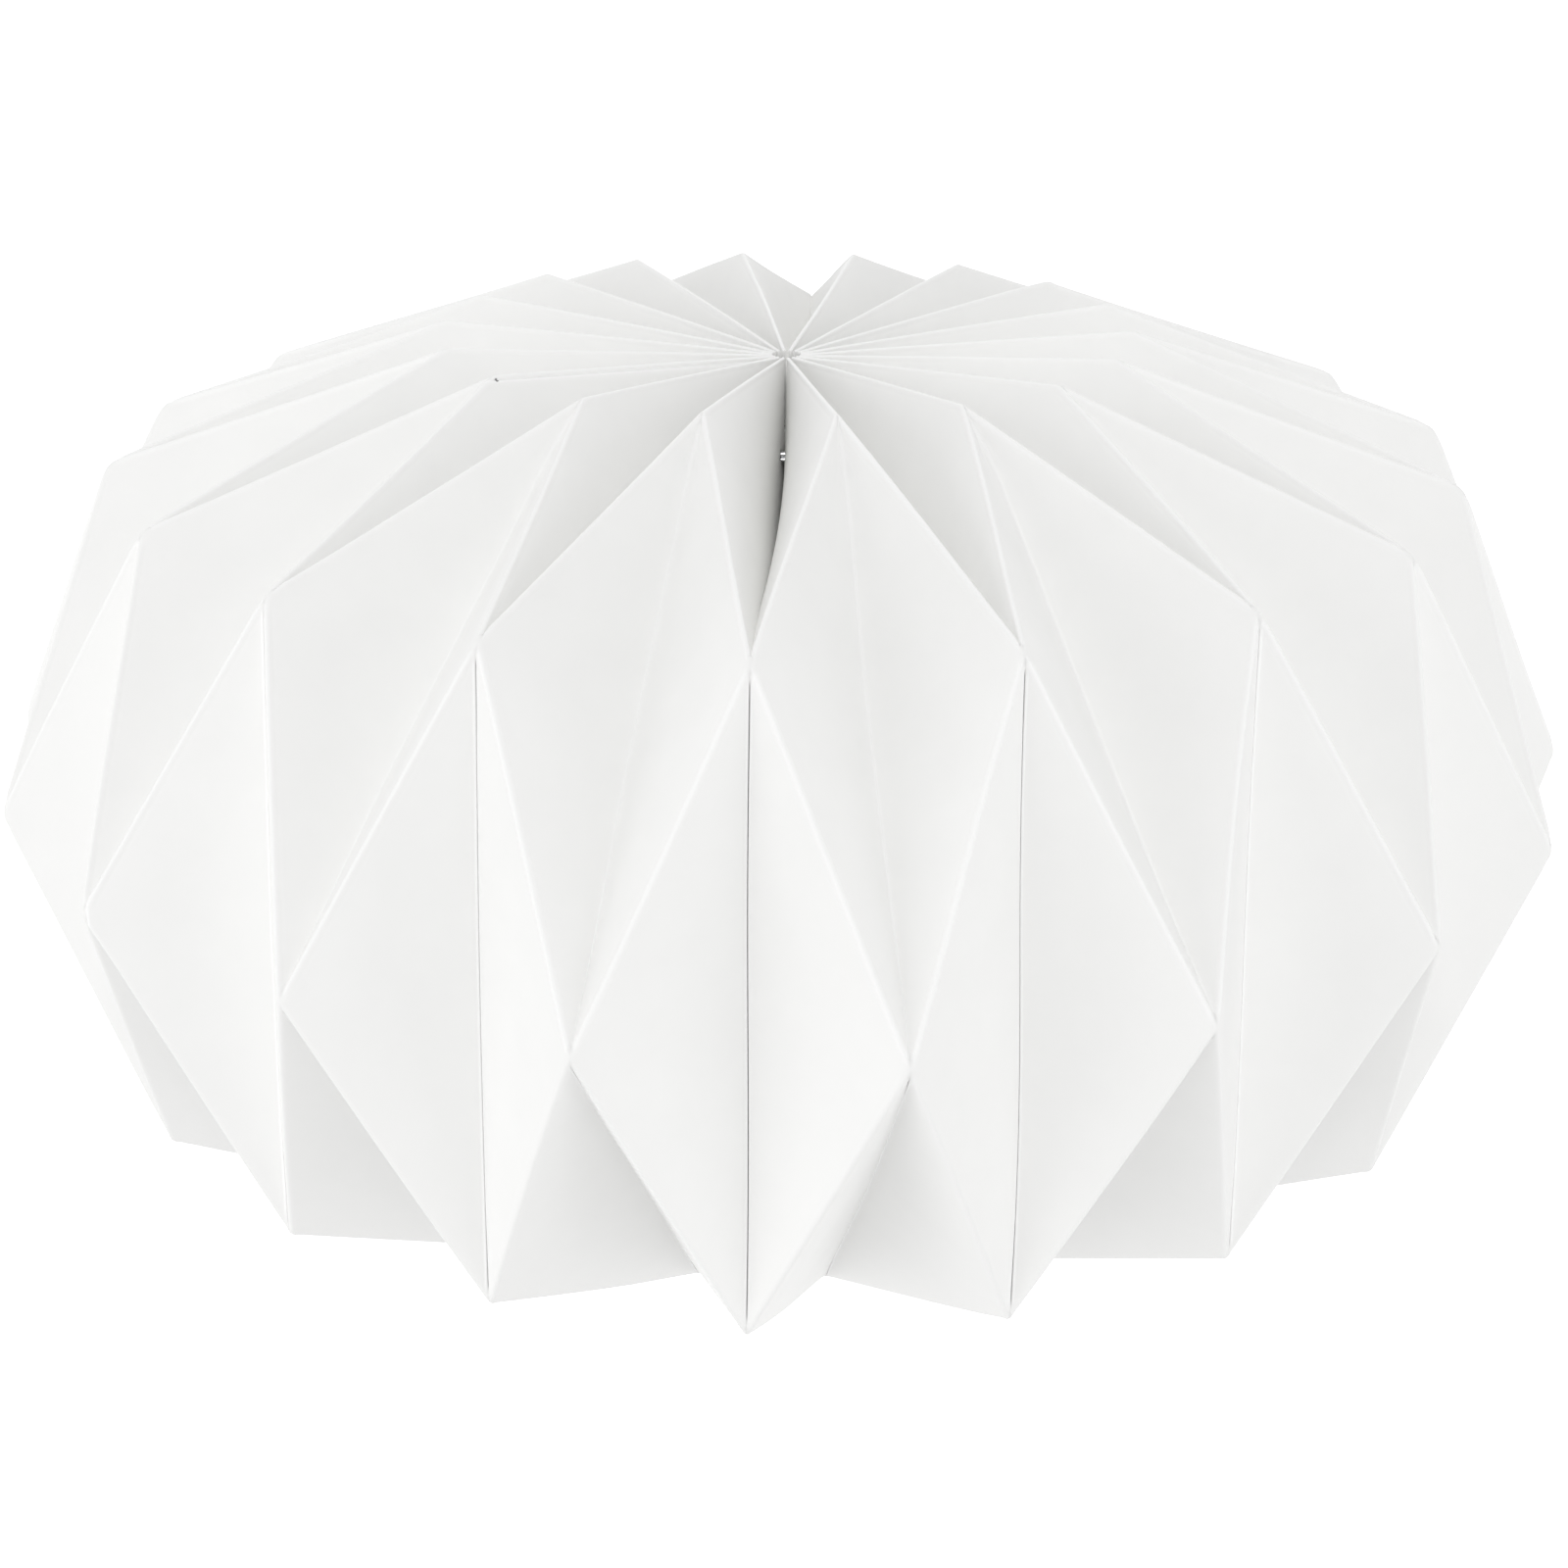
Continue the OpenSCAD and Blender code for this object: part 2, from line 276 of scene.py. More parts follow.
def polished_spring_steel(ring):
    """Nickel-plated spring steel wire, rolled flat, coiled and tumbled.

    Gives the eye a bright hard highlight along each turn, with faint drawing lines along the wire.
    """
    made, tree, shader = new_material("polished_spring_steel")
    place = put(tree, "ShaderNodeTexCoord").outputs["Object"]
    # Drawing lines run round the ring, 0.12 mm apart across the wire
    lines = put(tree, "ShaderNodeTexWave", {"Vector": place, "Scale": 1 / (2.4 * MM), "Distortion": 0.6,
                                            "Detail": 2.0}, wave_type="RINGS", rings_direction="Z")
    rough = put(tree, "ShaderNodeMapRange", {"Value": lines.outputs["Fac"], "To Min": 0.05, "To Max": 0.1})
    bump = put(tree, "ShaderNodeBump", {"Strength": 0.2, "Distance": 0.01 * MM,
                                        "Height": lines.outputs["Fac"]})
    tree.links.new(rough.outputs["Result"], shader.inputs["Roughness"])
    tree.links.new(bump.outputs["Normal"], shader.inputs["Normal"])
    shader.inputs["Base Color"].default_value = linear(ring.steel_colour)
    shader.inputs["Metallic"].default_value = 1.0
    return made


def matt_studio_floor(stage):
    """Seamless painted studio floor, rolled matt white. Gives the eye plain bright white."""
    made, tree, shader = new_material("matt_white_studio_floor")
    place = put(tree, "ShaderNodeTexCoord").outputs["Object"]
    # Roller stipple, drawn at 6 mm
    stipple = put(tree, "ShaderNodeTexNoise", {"Vector": place, "Scale": 1 / (6 * MM), "Detail": 2.0})
    bump = put(tree, "ShaderNodeBump", {"Strength": 0.05, "Distance": 0.1 * MM,
                                        "Height": stipple.outputs["Fac"]})
    tree.links.new(bump.outputs["Normal"], shader.inputs["Normal"])
    shader.inputs["Base Color"].default_value = linear(stage.floor_colour)
    shader.inputs["Roughness"].default_value = 0.9
    shader.inputs["Specular IOR Level"].default_value = 0.1
    shader.inputs["Emission Color"].default_value = linear("FFFFFF")
    shader.inputs["Emission Strength"].default_value = 1.0
    return made


# ---------------------------------------------------------------- the folded sheet


def smooth(t):
    t = np.clip(t, 0, 1)
    return t * t * (3 - 2 * t)


def hump(distance, centre, width):
    return np.exp(-((distance - centre) / width) ** 2)


def fold_point(same, other, to_same, to_other, side):
    """A point at given distances from a point in its own plane and one in the neighbouring plane."""
    foot = np.array([other[0] * math.cos(HALF_ANGLE), other[1]])
    reach = math.sqrt(to_other**2 - (other[0] * math.sin(HALF_ANGLE)) ** 2)
    span = np.linalg.norm(same - foot)
    along = (span**2 + reach**2 - to_same**2) / (2 * span)
    across = math.sqrt(reach**2 - along**2)
    ux, uz = (same - foot) / span
    return foot + along * np.array([ux, uz]) + side * across * np.array([-uz, ux])


class FoldedSheet:
    """Half a pleat of the sheet.

    u runs over the flat panel from ridge to valley, v from the ring end to the hem.
    In space the pleat's middle plane is XZ, and the half lies at +Y. Lengths are in mm.
    """

    def __init__(self, shade):
        self.shade = shade
        self.width, self.row = shade.crease_spacing, shade.row_step
        diagonal = math.hypot(self.width, self.row)
        start = np.array([shade.top_hole_radius, shade.ridge_start_height])
        shoulder = np.array([shade.shoulder_radius, shade.shoulder_height])
        reach = math.sqrt(diagonal**2 - (shoulder[0] * math.sin(HALF_ANGLE)) ** 2)
        upper_tip = np.array([
            shoulder[0] * math.cos(HALF_ANGLE) + reach * math.cos(shade.shoulder_fall),
            shoulder[1] - reach * math.sin(shade.shoulder_fall),
        ])
        self.top = np.linalg.norm(shoulder - start)
        valley_start = fold_point(upper_tip, start, self.top + self.row, self.width, -1)
        waist = fold_point(shoulder, upper_tip, 2 * self.row, diagonal, 1)
        lower_tip = fold_point(upper_tip, waist, 2 * self.row, diagonal, 1)
        foot = fold_point(waist, lower_tip, 2 * self.row, diagonal, 1)
        below = fold_point(lower_tip, foot, 2 * self.row, diagonal, 1)
        margin = shade.bottom_margin
        inwards = np.array([start[0] - shoulder[0], shoulder[1] - start[1]]) / self.top
        hem_ridge = foot + margin * inwards
        hem_valley = lower_tip + (self.row + margin) * (below - lower_tip) / np.linalg.norm(below - lower_tip)
        self.length = self.top + 4 * self.row + margin
        self.ridge = [np.array([p[0], 0, p[1]]) for p in (start, shoulder, waist, foot, hem_ridge)]
        self.valley_dir = np.array([math.cos(HALF_ANGLE), math.sin(HALF_ANGLE), 0])
        self.valley_in = np.array([math.sin(HALF_ANGLE), -math.cos(HALF_ANGLE), 0])
        self.valley = [p[0] * self.valley_dir + np.array([0, 0, p[1]])
                       for p in (valley_start, upper_tip, lower_tip, hem_valley)]
        # Flat places of the fold points on the ridge side and on the valley side
        self.ridge_v = [0, self.top, self.top + 2 * self.row, self.top + 4 * self.row, self.length]
        self.valley_v = [0, self.top + self.row, self.top + 3 * self.row, self.length]
        disc = [(0.0, 0.0)]
        for ring, count in ((1 / 3, 6), (2 / 3, 12), (1.0, 18)):
            disc += [(ring * math.cos(2 * math.pi * i / count), ring * math.sin(2 * math.pi * i / count))
                     for i in range(count)]
        self.disc = disc
        self.hole = self.find_hole(RING_RADIUS)

    def half(self, u, v):
        """Where flat points of this half go, with sharp folds."""
        s = (u / self.width)[:, None]
        v = v[:, None]
        a0, a1, a3, a5, a6 = self.ridge
        b0, b2, b4, b6 = self.valley
        top, row = self.top, self.row
        margin = self.length - top - 4 * row
        q = v / (top + row * s)
        panel = (1 - s) * (a0 + (a1 - a0) * q) + s * (b0 + (b2 - b0) * q)
        upper = a1 + (a3 - a1) * ((v - top - s * row) / (2 * row)) + s * (b2 - a1)
        side = a3 + s * (b2 - a3) + (b4 - b2) * ((v - top - 2 * row + s * row) / (2 * row))
        lower = a3 + s * (b4 - a3) + (a5 - a3) * ((v - top - 2 * row - s * row) / (2 * row))
        q = (v - top - 4 * row + s * row) / (margin + row * s)
        under = (1 - s) * (a5 + (a6 - a5) * q) + s * (b4 + (b6 - b4) * q)
        lines = [top + row * s, top + 2 * row - row * s, top + 2 * row + row * s, top + 4 * row - row * s]
        return np.where(v < lines[0], panel, np.where(v < lines[1], upper, np.where(
            v < lines[2], side, np.where(v < lines[3], lower, under))))

    def folded(self, u, v):
        """The same for points a little past the ridge or the valley, on the mirrored neighbour."""
        past_ridge, past_valley = u < 0, u > self.width
        inside = np.where(past_ridge, -u, np.where(past_valley, 2 * self.width - u, u))
        p = self.half(inside, v)
        p[past_ridge, 1] *= -1
        q = p[past_valley]
        p[past_valley] = q - 2 * (q @ self.valley_in)[:, None] * self.valley_in
        return p

    def crease_distances(self, u, v):
        """Flat distances to each kind of crease."""
        top, row, width = self.top, self.row, self.width

        def to_segment(a, b):
            a, b = np.array(a), np.array(b)
            d = b - a
            t = np.clip(((u - a[0]) * d[0] + (v - a[1]) * d[1]) / (d @ d), 0, 1)
            return np.hypot(u - a[0] - t * d[0], v - a[1] - t * d[1])

        upper = np.minimum(to_segment((0, top), (width, top + row)),
                           to_segment((width, top + row), (0, top + 2 * row)))
        lower = np.minimum(to_segment((0, top + 2 * row), (width, top + 3 * row)),
                           to_segment((width, top + 3 * row), (0, top + 4 * row)))
        past = 9  # creases run on past the edges, so that they don't fade there
        ridges = np.minimum(to_segment((0, -past), (0, top)),
                            to_segment((0, top + 4 * row), (0, self.length + past)))
        crisp = np.minimum(to_segment((width, -past), (width, self.length + past)),
                           to_segment((0, top + 2 * row), (0, top + 4 * row)))
        closed = np.minimum(to_segment((width, top + row), (width, top + 3 * row)),
                            to_segment((0, top + 2 * row), (0, top + 4 * row)))
        tips = np.min([np.hypot(u, v - w) for w in (self.ridge_v[1], self.ridge_v[3])]
                      + [np.hypot(u - width, v - self.valley_v[2])], axis=0)
        saddles = np.minimum(np.hypot(u, v - self.ridge_v[2]), np.hypot(u - width, v - self.valley_v[1]))
        return {
            "mountain": np.minimum(ridges, upper),
            "upper": upper,
            "faint_mountain": lower,
            "crisp": crisp,
            "closed": closed,
            "soft": to_segment((0, top), (0, top + 2 * row)),
            "tips": tips,
            "saddles": saddles,
        }

    def rounded(self, u, v):
        """Where flat points go, with every fold rounded over its own radius."""
        shade = self.shade
        away = self.crease_distances(u, v)
        fold = shade.fold_radius * (1 + 0.8 * smooth(1 - away["faint_mountain"] / 6))
        radius = fold + (shade.point_radius - fold) * smooth(1 - away["saddles"] / 6)
        radius = np.maximum(radius, fold + (0.35 * shade.point_radius - fold) * smooth(1 - away["tips"] / 5))
        along = (v - self.top) / (2 * self.row)
        in_upper = (along > 0) & (along < 1) & (u / self.width < 1 - np.abs(2 * along - 1))
        bend = shade.soft_radius * smooth(1 - u / 26) * smooth((1 - along) / 0.42)
        bend = np.minimum(bend, 0.8 * away["upper"])
        radius = np.where(in_upper, np.maximum(radius, bend), radius)
        total = np.zeros((len(u), 3))
        for du, dv in self.disc:
            total += self.folded(u + radius * du, v + radius * dv)
        return total / len(self.disc)

    def normals(self, u, v, step=0.15):
        across = self.rounded(u + step, v) - self.rounded(u - step, v)
        down = self.rounded(u, v + step) - self.rounded(u, v - step)
        n = np.cross(down, across)
        return n / np.linalg.norm(n, axis=1)[:, None]

    def relief(self, u, v, lapped):
        """Height of the scored beads and grooves over the sheet, and the whiter or darker paint of each
        place: stretched-fibre whitening, painted highlight and painted shade.
        """
        away = self.crease_distances(u, v)
        points = np.minimum(away["tips"], away["saddles"])
        # Beads run almost into the folds' meeting points, and grooves stop short of them
        beaded = np.minimum(smooth((away["tips"] + 0.6) / 1.2), smooth((away["saddles"] - 0.8) / 2.4))
        grooved = smooth((points - 3.2) / 2.6)
        bead = hump(away["mountain"], 0, 0.6) + 0.3 * hump(away["faint_mountain"], 0, 0.6)
        dip = hump(away["mountain"], 1.4, 0.45)
        groove, lips = hump(away["crisp"], 0, 0.24), hump(away["crisp"], 0.72, 0.28)
        line = hump(away["soft"], 0, 0.6)
        # Beside a valley the card can't bend as sharply as its score, so the panels belly out
        belly = 0.3 * away["closed"] * np.exp(-away["closed"] / 4.5)
        belly += 0.3 * away["soft"] * np.exp(-away["soft"] / 5)
        belly *= smooth((v - self.top) / 30) * smooth((points - 1) / 20)
        belly *= smooth((np.minimum(away["mountain"], away["faint_mountain"]) - 0.6) / 14)
        height = beaded * (0.2 * bead - 0.06 * dip) + grooved * (0.18 * lips - 0.25 * groove + 0.06 * line)
        height = height + belly
        # Whiter paint on ridges, valley lips and the soft valley line: on the ridges partly stretched fibres
        # and partly painted highlight, on the lips and the soft valley painted highlight
        score = 0.45 * beaded * hump(away["mountain"], 0, 0.75) + grooved * (lips + 0.3 * line)
        score = np.clip(score + 0.1 * beaded * hump(away["faint_mountain"], 0, 0.8), 0, 1)
        # Painted shade: a dark line along the crisp valleys, where their groove lies in shade
        valley_shade = grooved * hump(away["crisp"], 0, 0.21)
        if lapped:
            # The upper layer's cut edge lies 1.2 mm from the middle crease, one thickness proud
            height = height + np.where(u < 1.2, -0.2 * hump(u, 1.0, 0.2), 0.26 * smooth(1 - (u - 1.2) / 6))
            # Painted highlight: a whiter line along the upper layer's cut edge
            score = np.maximum(score, hump(u, 1.5, 0.35))
        # One number a place: above 0 whiter paint on ridges, lips, the soft valley and the lap edge (on the
        # ridges partly stretched fibres and partly painted highlight, elsewhere painted highlight); below 0
        # painted shade at the bottom of a crisp valley
        return height, np.where(valley_shade > 0.12, -valley_shade, score)

    def find_hole(self, ring_radius):
        """Flat place where the ring crosses the panel."""
        u, v = np.meshgrid(np.linspace(12, 32, 161), np.linspace(0, 16, 129))
        p = self.half(u.ravel(), v.ravel())
        miss = (np.hypot(p[:, 0], p[:, 1]) - ring_radius) ** 2 + p[:, 2] ** 2
        best = miss.argmin()
        return u.ravel()[best], v.ravel()[best]


def both_ways(lines, span):
    """Distances from one end, used from both ends of a span."""
    near = [d for d in lines if d < span / 2]
    return np.array(near + [span / 2] + [span - d for d in reversed(near)])


def stations(span, first=1.2, growth=1.35, longest=8.0):
    """Steps along a crease, short at its ends and longer in the middle."""
    near, step = [0.0], first
    while near[-1] + step < span / 2:
        near.append(near[-1] + step)
        step = min(step * growth, longest)
    return np.array(near + [span - d for d in reversed(near)]) / span


class FlatMesh:
    """Points and faces over the flat half pleat, welded where facets share a crease."""

    def __init__(self):
        self.points, self.faces, self.keys = [], [], {}

    def point(self, u, v):
        key = (round(u, 4), round(v, 4))
        if key not in self.keys:
            self.keys[key] = len(self.points)
            self.points.append((u, v))
        return self.keys[key]

    def face(self, corners):
        corners = [c for i, c in enumerate(corners) if c != corners[i - 1]]
        if len(corners) < 3:
            return
        flat = [self.points[c] for c in corners]
        area = sum(a[0] * b[1] - b[0] * a[1] for a, b in zip(flat, flat[1:] + flat[:1]))
        self.faces.append(corners if area < 0 else corners[::-1])

    def rings(self, loops, closed=False):
        """Quads between loops of points that go round the same way."""
        count = len(loops[0])
        for outer, inner in zip(loops, loops[1:]):
            for i in range(count):
                j = (i + 1) % count
                self.face([outer[i], outer[j], inner[j], inner[i]])
        if closed:
            for i in range(count):
                self.face([loops[-1][i], loops[-1][(i + 1) % count], closed])


def lay_out(sheet, lines, plain):
    """The flat mesh of half a pleat, with its two free edges and its punched hole as lists of points."""
    mesh = FlatMesh()
    width, row, top = sheet.width, sheet.row, sheet.top
    hole_u, hole_v = sheet.hole
    hole_r = sheet.shade.hole_diameter / 2
    # A window of the mesh round the hole, half as wide and half as high as this, in mm
    window_u, window_v = 3.2, 3.4
    hole_s = [(hole_u - window_u) / width, hole_u / width, (hole_u + window_u) / width]
    across = np.unique(np.round(np.concatenate([both_ways(lines, width) / width, hole_s]), 6))
    across = np.array([s for i, s in enumerate(across)
                       if s in np.round(hole_s, 6) or min(abs(s - np.array(hole_s))) > 0.02])
    # Top panel: rulings from the ridge to the valley, closer together by the shoulder crease
    by_crease = 1 - np.array(lines[:-1]) / (60 if not plain else 45)
    steps = np.linspace(0, 1, 9 if plain else 21)
    middle = hole_v / (top + row * hole_u / width)
    band = window_v / (top + row * hole_u / width)
    hole_q = [middle - band, middle, middle + band]
    down = np.concatenate([by_crease, steps[steps < by_crease.min() - 0.02], hole_q])
    down = np.unique(np.round(down, 6))
    down = np.array([q for q in down
                     if q in np.round(hole_q, 6) or q == 0 or min(abs(q - np.array(hole_q))) > 0.008])
    grid = [[mesh.point(s * width, q * (top + row * s)) for s in across] for q in down]
    s0, s1 = (int(np.argmin(abs(across - x))) for x in (hole_s[0], hole_s[2]))
    q0, q1 = (int(np.argmin(abs(down - x))) for x in (hole_q[0], hole_q[2]))
    for j in range(len(down) - 1):
        for i in range(len(across) - 1):
            if not (q0 <= j < q1 and s0 <= i < s1):
                mesh.face([grid[j][i], grid[j][i + 1], grid[j + 1][i + 1], grid[j + 1][i]])
    window = ([(across[i], down[q0]) for i in range(s0, s1)]
              + [(across[s1], down[j]) for j in range(q0, q1)]
              + [(across[i], down[q1]) for i in range(s1, s0, -1)]
              + [(across[s0], down[j]) for j in range(q1, q0, -1)])
    border = [(s * width, q * (top + row * s)) for s, q in window]
    loops = []
    for share in (0, 0.35, 0.7, 1.0):
        loop = []
        for u, v in border:
            angle = math.atan2(v - hole_v, u - hole_u)
            cu, cv = hole_u + hole_r * math.cos(angle), hole_v + hole_r * math.sin(angle)
            loop.append(mesh.point(u + share * (cu - u), v + share * (cv - v)))
        loops.append(loop)
    mesh.rings(loops)
    # Three triangular facets, as nested triangles round the point that is equally far from all sides
    tall = stations(2 * row, 2.0 if plain else 1.2, 1.6 if plain else 1.35, 18 if plain else 8)
    for corners in (
        ((0, top), (0, top + 2 * row), (width, top + row)),
        ((0, top + 2 * row), (width, top + row), (width, top + 3 * row)),
        ((0, top + 2 * row), (0, top + 4 * row), (width, top + 3 * row)),
    ):
        p = [np.array(c, float) for c in corners]
        sides = [np.linalg.norm(p[1] - p[2]), np.linalg.norm(p[2] - p[0]), np.linalg.norm(p[0] - p[1])]
        centre = sum(w * c for w, c in zip(sides, p)) / sum(sides)
        inradius = width * 2 * row / sum(sides)
        border = []
        for a, b in ((p[0], p[1]), (p[1], p[2]), (p[2], p[0])):
            if abs(a[0] - b[0]) < 1e-9:
                steps = tall
            elif a[0] < b[0]:
                steps = across
            else:
                steps = 1 - across[::-1]
            border += [a + (b - a) * t for t in steps[:-1]]
        loops = [[mesh.point(*(centre + (c - centre) * (1 - d / inradius))) for c in border]
                 for d in lines if d < inradius - 1]
        middle = mesh.point(*centre)
        mesh.rings(loops, closed=middle)
    # Under panel, down to the hem
    margin = sheet.length - top - 4 * row
    near = np.array(lines[:-3]) / 25
    low = np.concatenate([near, np.linspace(0, 1, 5 if plain else 8)[1:]])
    low = np.unique(np.round([q for q in low if q in near or min(abs(q - near)) > 0.03 or q == 1], 6))
    grid_low = [[mesh.point(s * width, top + 4 * row - row * s + q * (margin + row * s)) for s in across]
                for q in low]
    for j in range(len(low) - 1):
        for i in range(len(across) - 1):
            mesh.face([grid_low[j][i], grid_low[j][i + 1], grid_low[j + 1][i + 1], grid_low[j + 1][i]])
    hole_border = [mesh.points[i] for i in edge_of_hole(mesh, hole_u, hole_v, hole_r)]
    return mesh, [mesh.points[i] for i in grid[0]], [mesh.points[i] for i in grid_low[-1]], hole_border


def edge_of_hole(mesh, u, v, r):
    """Indices of the points on the hole's edge, in order."""
    found = [i for i, p in enumerate(mesh.points) if abs(math.hypot(p[0] - u, p[1] - v) - r) < 1e-3]
    return sorted(found, key=lambda i: math.atan2(mesh.points[i][1] - v, mesh.points[i][0] - u))


def keep_between_planes(sheet, p):
    """Stops the skins at the ridge plane and the valley plane, where the next half begins."""
    p[:, 1] = np.maximum(p[:, 1], 0)
    past = np.minimum(p @ sheet.valley_in, 0)
    return p - past[:, None] * sheet.valley_in


def skin(sheet, flat, height, lapped=False, with_relief=True):
    """Points of a skin at a height over the sheet's middle, and their painted whitening, highlight and shade.
    """
    u, v = np.array([p[0] for p in flat], float), np.array([p[1] for p in flat], float)
    relief, score = sheet.relief(u, v, lapped)
    if not with_relief:
        relief, score = relief * 0, score * 0
    p = sheet.rounded(u, v) + (height + relief)[:, None] * sheet.normals(u, v)
    on_ridge, on_valley = u < 1e-6, u > sheet.width - 1e-6
    p = keep_between_planes(sheet, p)
    p[on_ridge, 1] = 0
    q = p[on_valley]
    p[on_valley] = q - (q @ sheet.valley_in)[:, None] * sheet.valley_in
    return p, score, on_ridge, on_valley


class Shell:
    """Points, faces and painted whitening, highlight and shade of a piece, collected skin by skin."""

    def __init__(self):
        self.points, self.scores, self.on_ridge, self.on_valley, self.faces = [], [], [], [], []
        self.count = 0

    def add(self, made, faces, flip=False):
        p, score, on_ridge, on_valley = made
        self.points.append(p)
        self.scores.append(score)
        self.on_ridge.append(on_ridge)
        self.on_valley.append(on_valley)
        self.faces += [[self.count + i for i in (f[::-1] if flip else f)] for f in faces]
        self.count += len(p)

    def strip(self, over, under, flip=False, closed=False):
        """Quads between two edges that have as many points each."""
        n = len(over[0])
        made = tuple(np.concatenate([a, b]) for a, b in zip(over, under))
        made = (made[0], made[1], np.zeros(2 * n, bool), np.zeros(2 * n, bool))
        last = n if closed else n - 1
        self.add(made, [[i, (i + 1) % n, n + (i + 1) % n, n + i] for i in range(last)], flip)

    def done(self):
        return (np.concatenate(self.points), np.concatenate(self.scores), np.concatenate(self.on_ridge),
                np.concatenate(self.on_valley), self.faces)


def half_pleat(sheet, lapped):
    """The two skins of half a pleat and its cut edges."""
    outer_h, inner_h = OUTER_FACE, OUTER_FACE - sheet.shade.thickness
    shell = Shell()
    fine, top_edge, hem_edge, hole_edge = lay_out(sheet, FINE_LINES, False)
    shell.add(skin(sheet, fine.points, outer_h, lapped), fine.faces)
    coarse = lay_out(sheet, PLAIN_LINES, True)[0]
    shell.add(skin(sheet, coarse.points, inner_h, with_relief=False), coarse.faces, flip=True)
    for edge, flip, closed in ((top_edge, True, False), (hem_edge, False, False), (hole_edge, True, True)):
        over = skin(sheet, edge, outer_h, lapped)
        under = skin(sheet, edge, inner_h, with_relief=False)
        shell.strip(over, under, flip, closed)
    return shell.done()


def glued_layer(sheet):
    """The under layer of a lap: the end panel of the other sheet, cut 1.5 mm short of the valley."""
    shell = Shell()
    glue = 0.02
    outer_h = OUTER_FACE - sheet.shade.thickness - glue
    inner_h = outer_h - sheet.shade.thickness
    coarse, top_edge, hem_edge, hole_edge = lay_out(sheet, PLAIN_LINES, True)
    limit = sheet.width - 1.5
    flat = [(min(u, limit), v) for u, v in coarse.points]
    faces = [f for f in coarse.faces if min(coarse.points[i][0] for i in f) < limit]
    for height, flip in ((outer_h, False), (inner_h, True)):
        shell.add(skin(sheet, flat, height, with_relief=False), faces, flip)
    side = [(limit, v) for v in np.linspace(0, sheet.length, 41)]
    clip = [[(min(u, limit), v) for u, v in edge] for edge in (top_edge, hem_edge, hole_edge)]
    for edge, flip, closed in ((clip[0], True, False), (clip[1], False, False), (clip[2], True, True),
                               (side, True, False)):
        over = skin(sheet, edge, outer_h, with_relief=False)
        under = skin(sheet, edge, inner_h, with_relief=False)
        shell.strip(over, under, flip, closed)
    return shell.done()


def wander(p, amount):
    """Small, slow unevenness of the hand-folded sheet, the same for every piece that passes a place."""
    rng = np.random.default_rng(5)
    radius = np.hypot(p[:, 0], p[:, 1])
    # Still at the ring, in full swing at the shoulder
    reach = smooth((radius - 30) / 90)[:, None]
    moved = np.zeros_like(p)
    for _ in range(9):
        wave = rng.normal(size=3)
        wave *= 2 * math.pi / rng.uniform(110, 220) / np.linalg.norm(wave)
        push = rng.normal(size=3)
        moved += np.sin(p @ wave + rng.uniform(0, 2 * math.pi))[:, None] * push / np.linalg.norm(push)
    step = amount * reach * moved / 2.1
    # Nothing moves out past the widest points, up past the shoulder or down past the mouth
    out = p[:, :2] / np.maximum(radius, 1)[:, None]
    outward = np.maximum((step[:, :2] * out).sum(axis=1), 0) * smooth((radius - 155) / 30)
    step[:, :2] -= outward[:, None] * out
    step[:, 2] -= np.maximum(step[:, 2], 0) * smooth((p[:, 2] + 30) / 40)
    step[:, 2] -= np.minimum(step[:, 2], 0) * smooth((-145 - p[:, 2]) / 30)
    step[:, 2] -= 0.4 * reach[:, 0] * smooth((p[:, 2] + 30) / 40)
    return p + step


def pleat_axes(k):
    """Outward and sideways directions of pleat k, counted from the front valley."""
    azimuth = (k - 0.5) * 2 * HALF_ANGLE
    return (np.array([math.sin(azimuth), -math.cos(azimuth), 0]),
            np.array([math.cos(azimuth), math.sin(azimuth), 0]))


def sheet_piece(name, made, k, side, sheet, material):
    """One half of pleat k as an object. side is 1 or -1."""
    points, scores, on_ridge, on_valley, faces = made
    out, along = pleat_axes(k)
    up = np.array([0, 0, 1.0])
    world = points[:, :1] * out + side * points[:, 1:2] * along + points[:, 2:3] * up
    data = bpy.data.meshes.new(name)
    data.from_pydata((world * MM).tolist(), [], faces if side > 0 else [f[::-1] for f in faces])
    data.shade_smooth()
    data.update()
    normals = np.zeros(len(points) * 3)
    data.vertex_normals.foreach_get("vector", normals)
    normals = normals.reshape(-1, 3)
    inward = sheet.valley_in[0] * out + side * sheet.valley_in[1] * along
    # On the ridge and the valley both halves share one normal, so no seam shows
    for flags, plane in ((on_ridge, along), (on_valley, inward)):
        n = normals[flags]
        normals[flags] = n - (n @ plane)[:, None] * plane
    normals /= np.maximum(np.linalg.norm(normals, axis=1), 1e-9)[:, None]
    data.vertices.foreach_set("co", (wander(world, sheet.shade.unevenness) * MM).astype(np.float32).ravel())
    data.update()
    data.normals_split_custom_set_from_vertices(normals.tolist())
    # The attribute carries the crease paint: whitening and painted highlight above 0, painted shade below 0
    attribute = data.attributes.new("score", "FLOAT", "POINT")
    attribute.data.foreach_set("value", scores.astype(np.float32))
    piece = bpy.data.objects.new(name, data)
    bpy.context.scene.collection.objects.link(piece)
    data.materials.append(material)
    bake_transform(piece)
    return piece


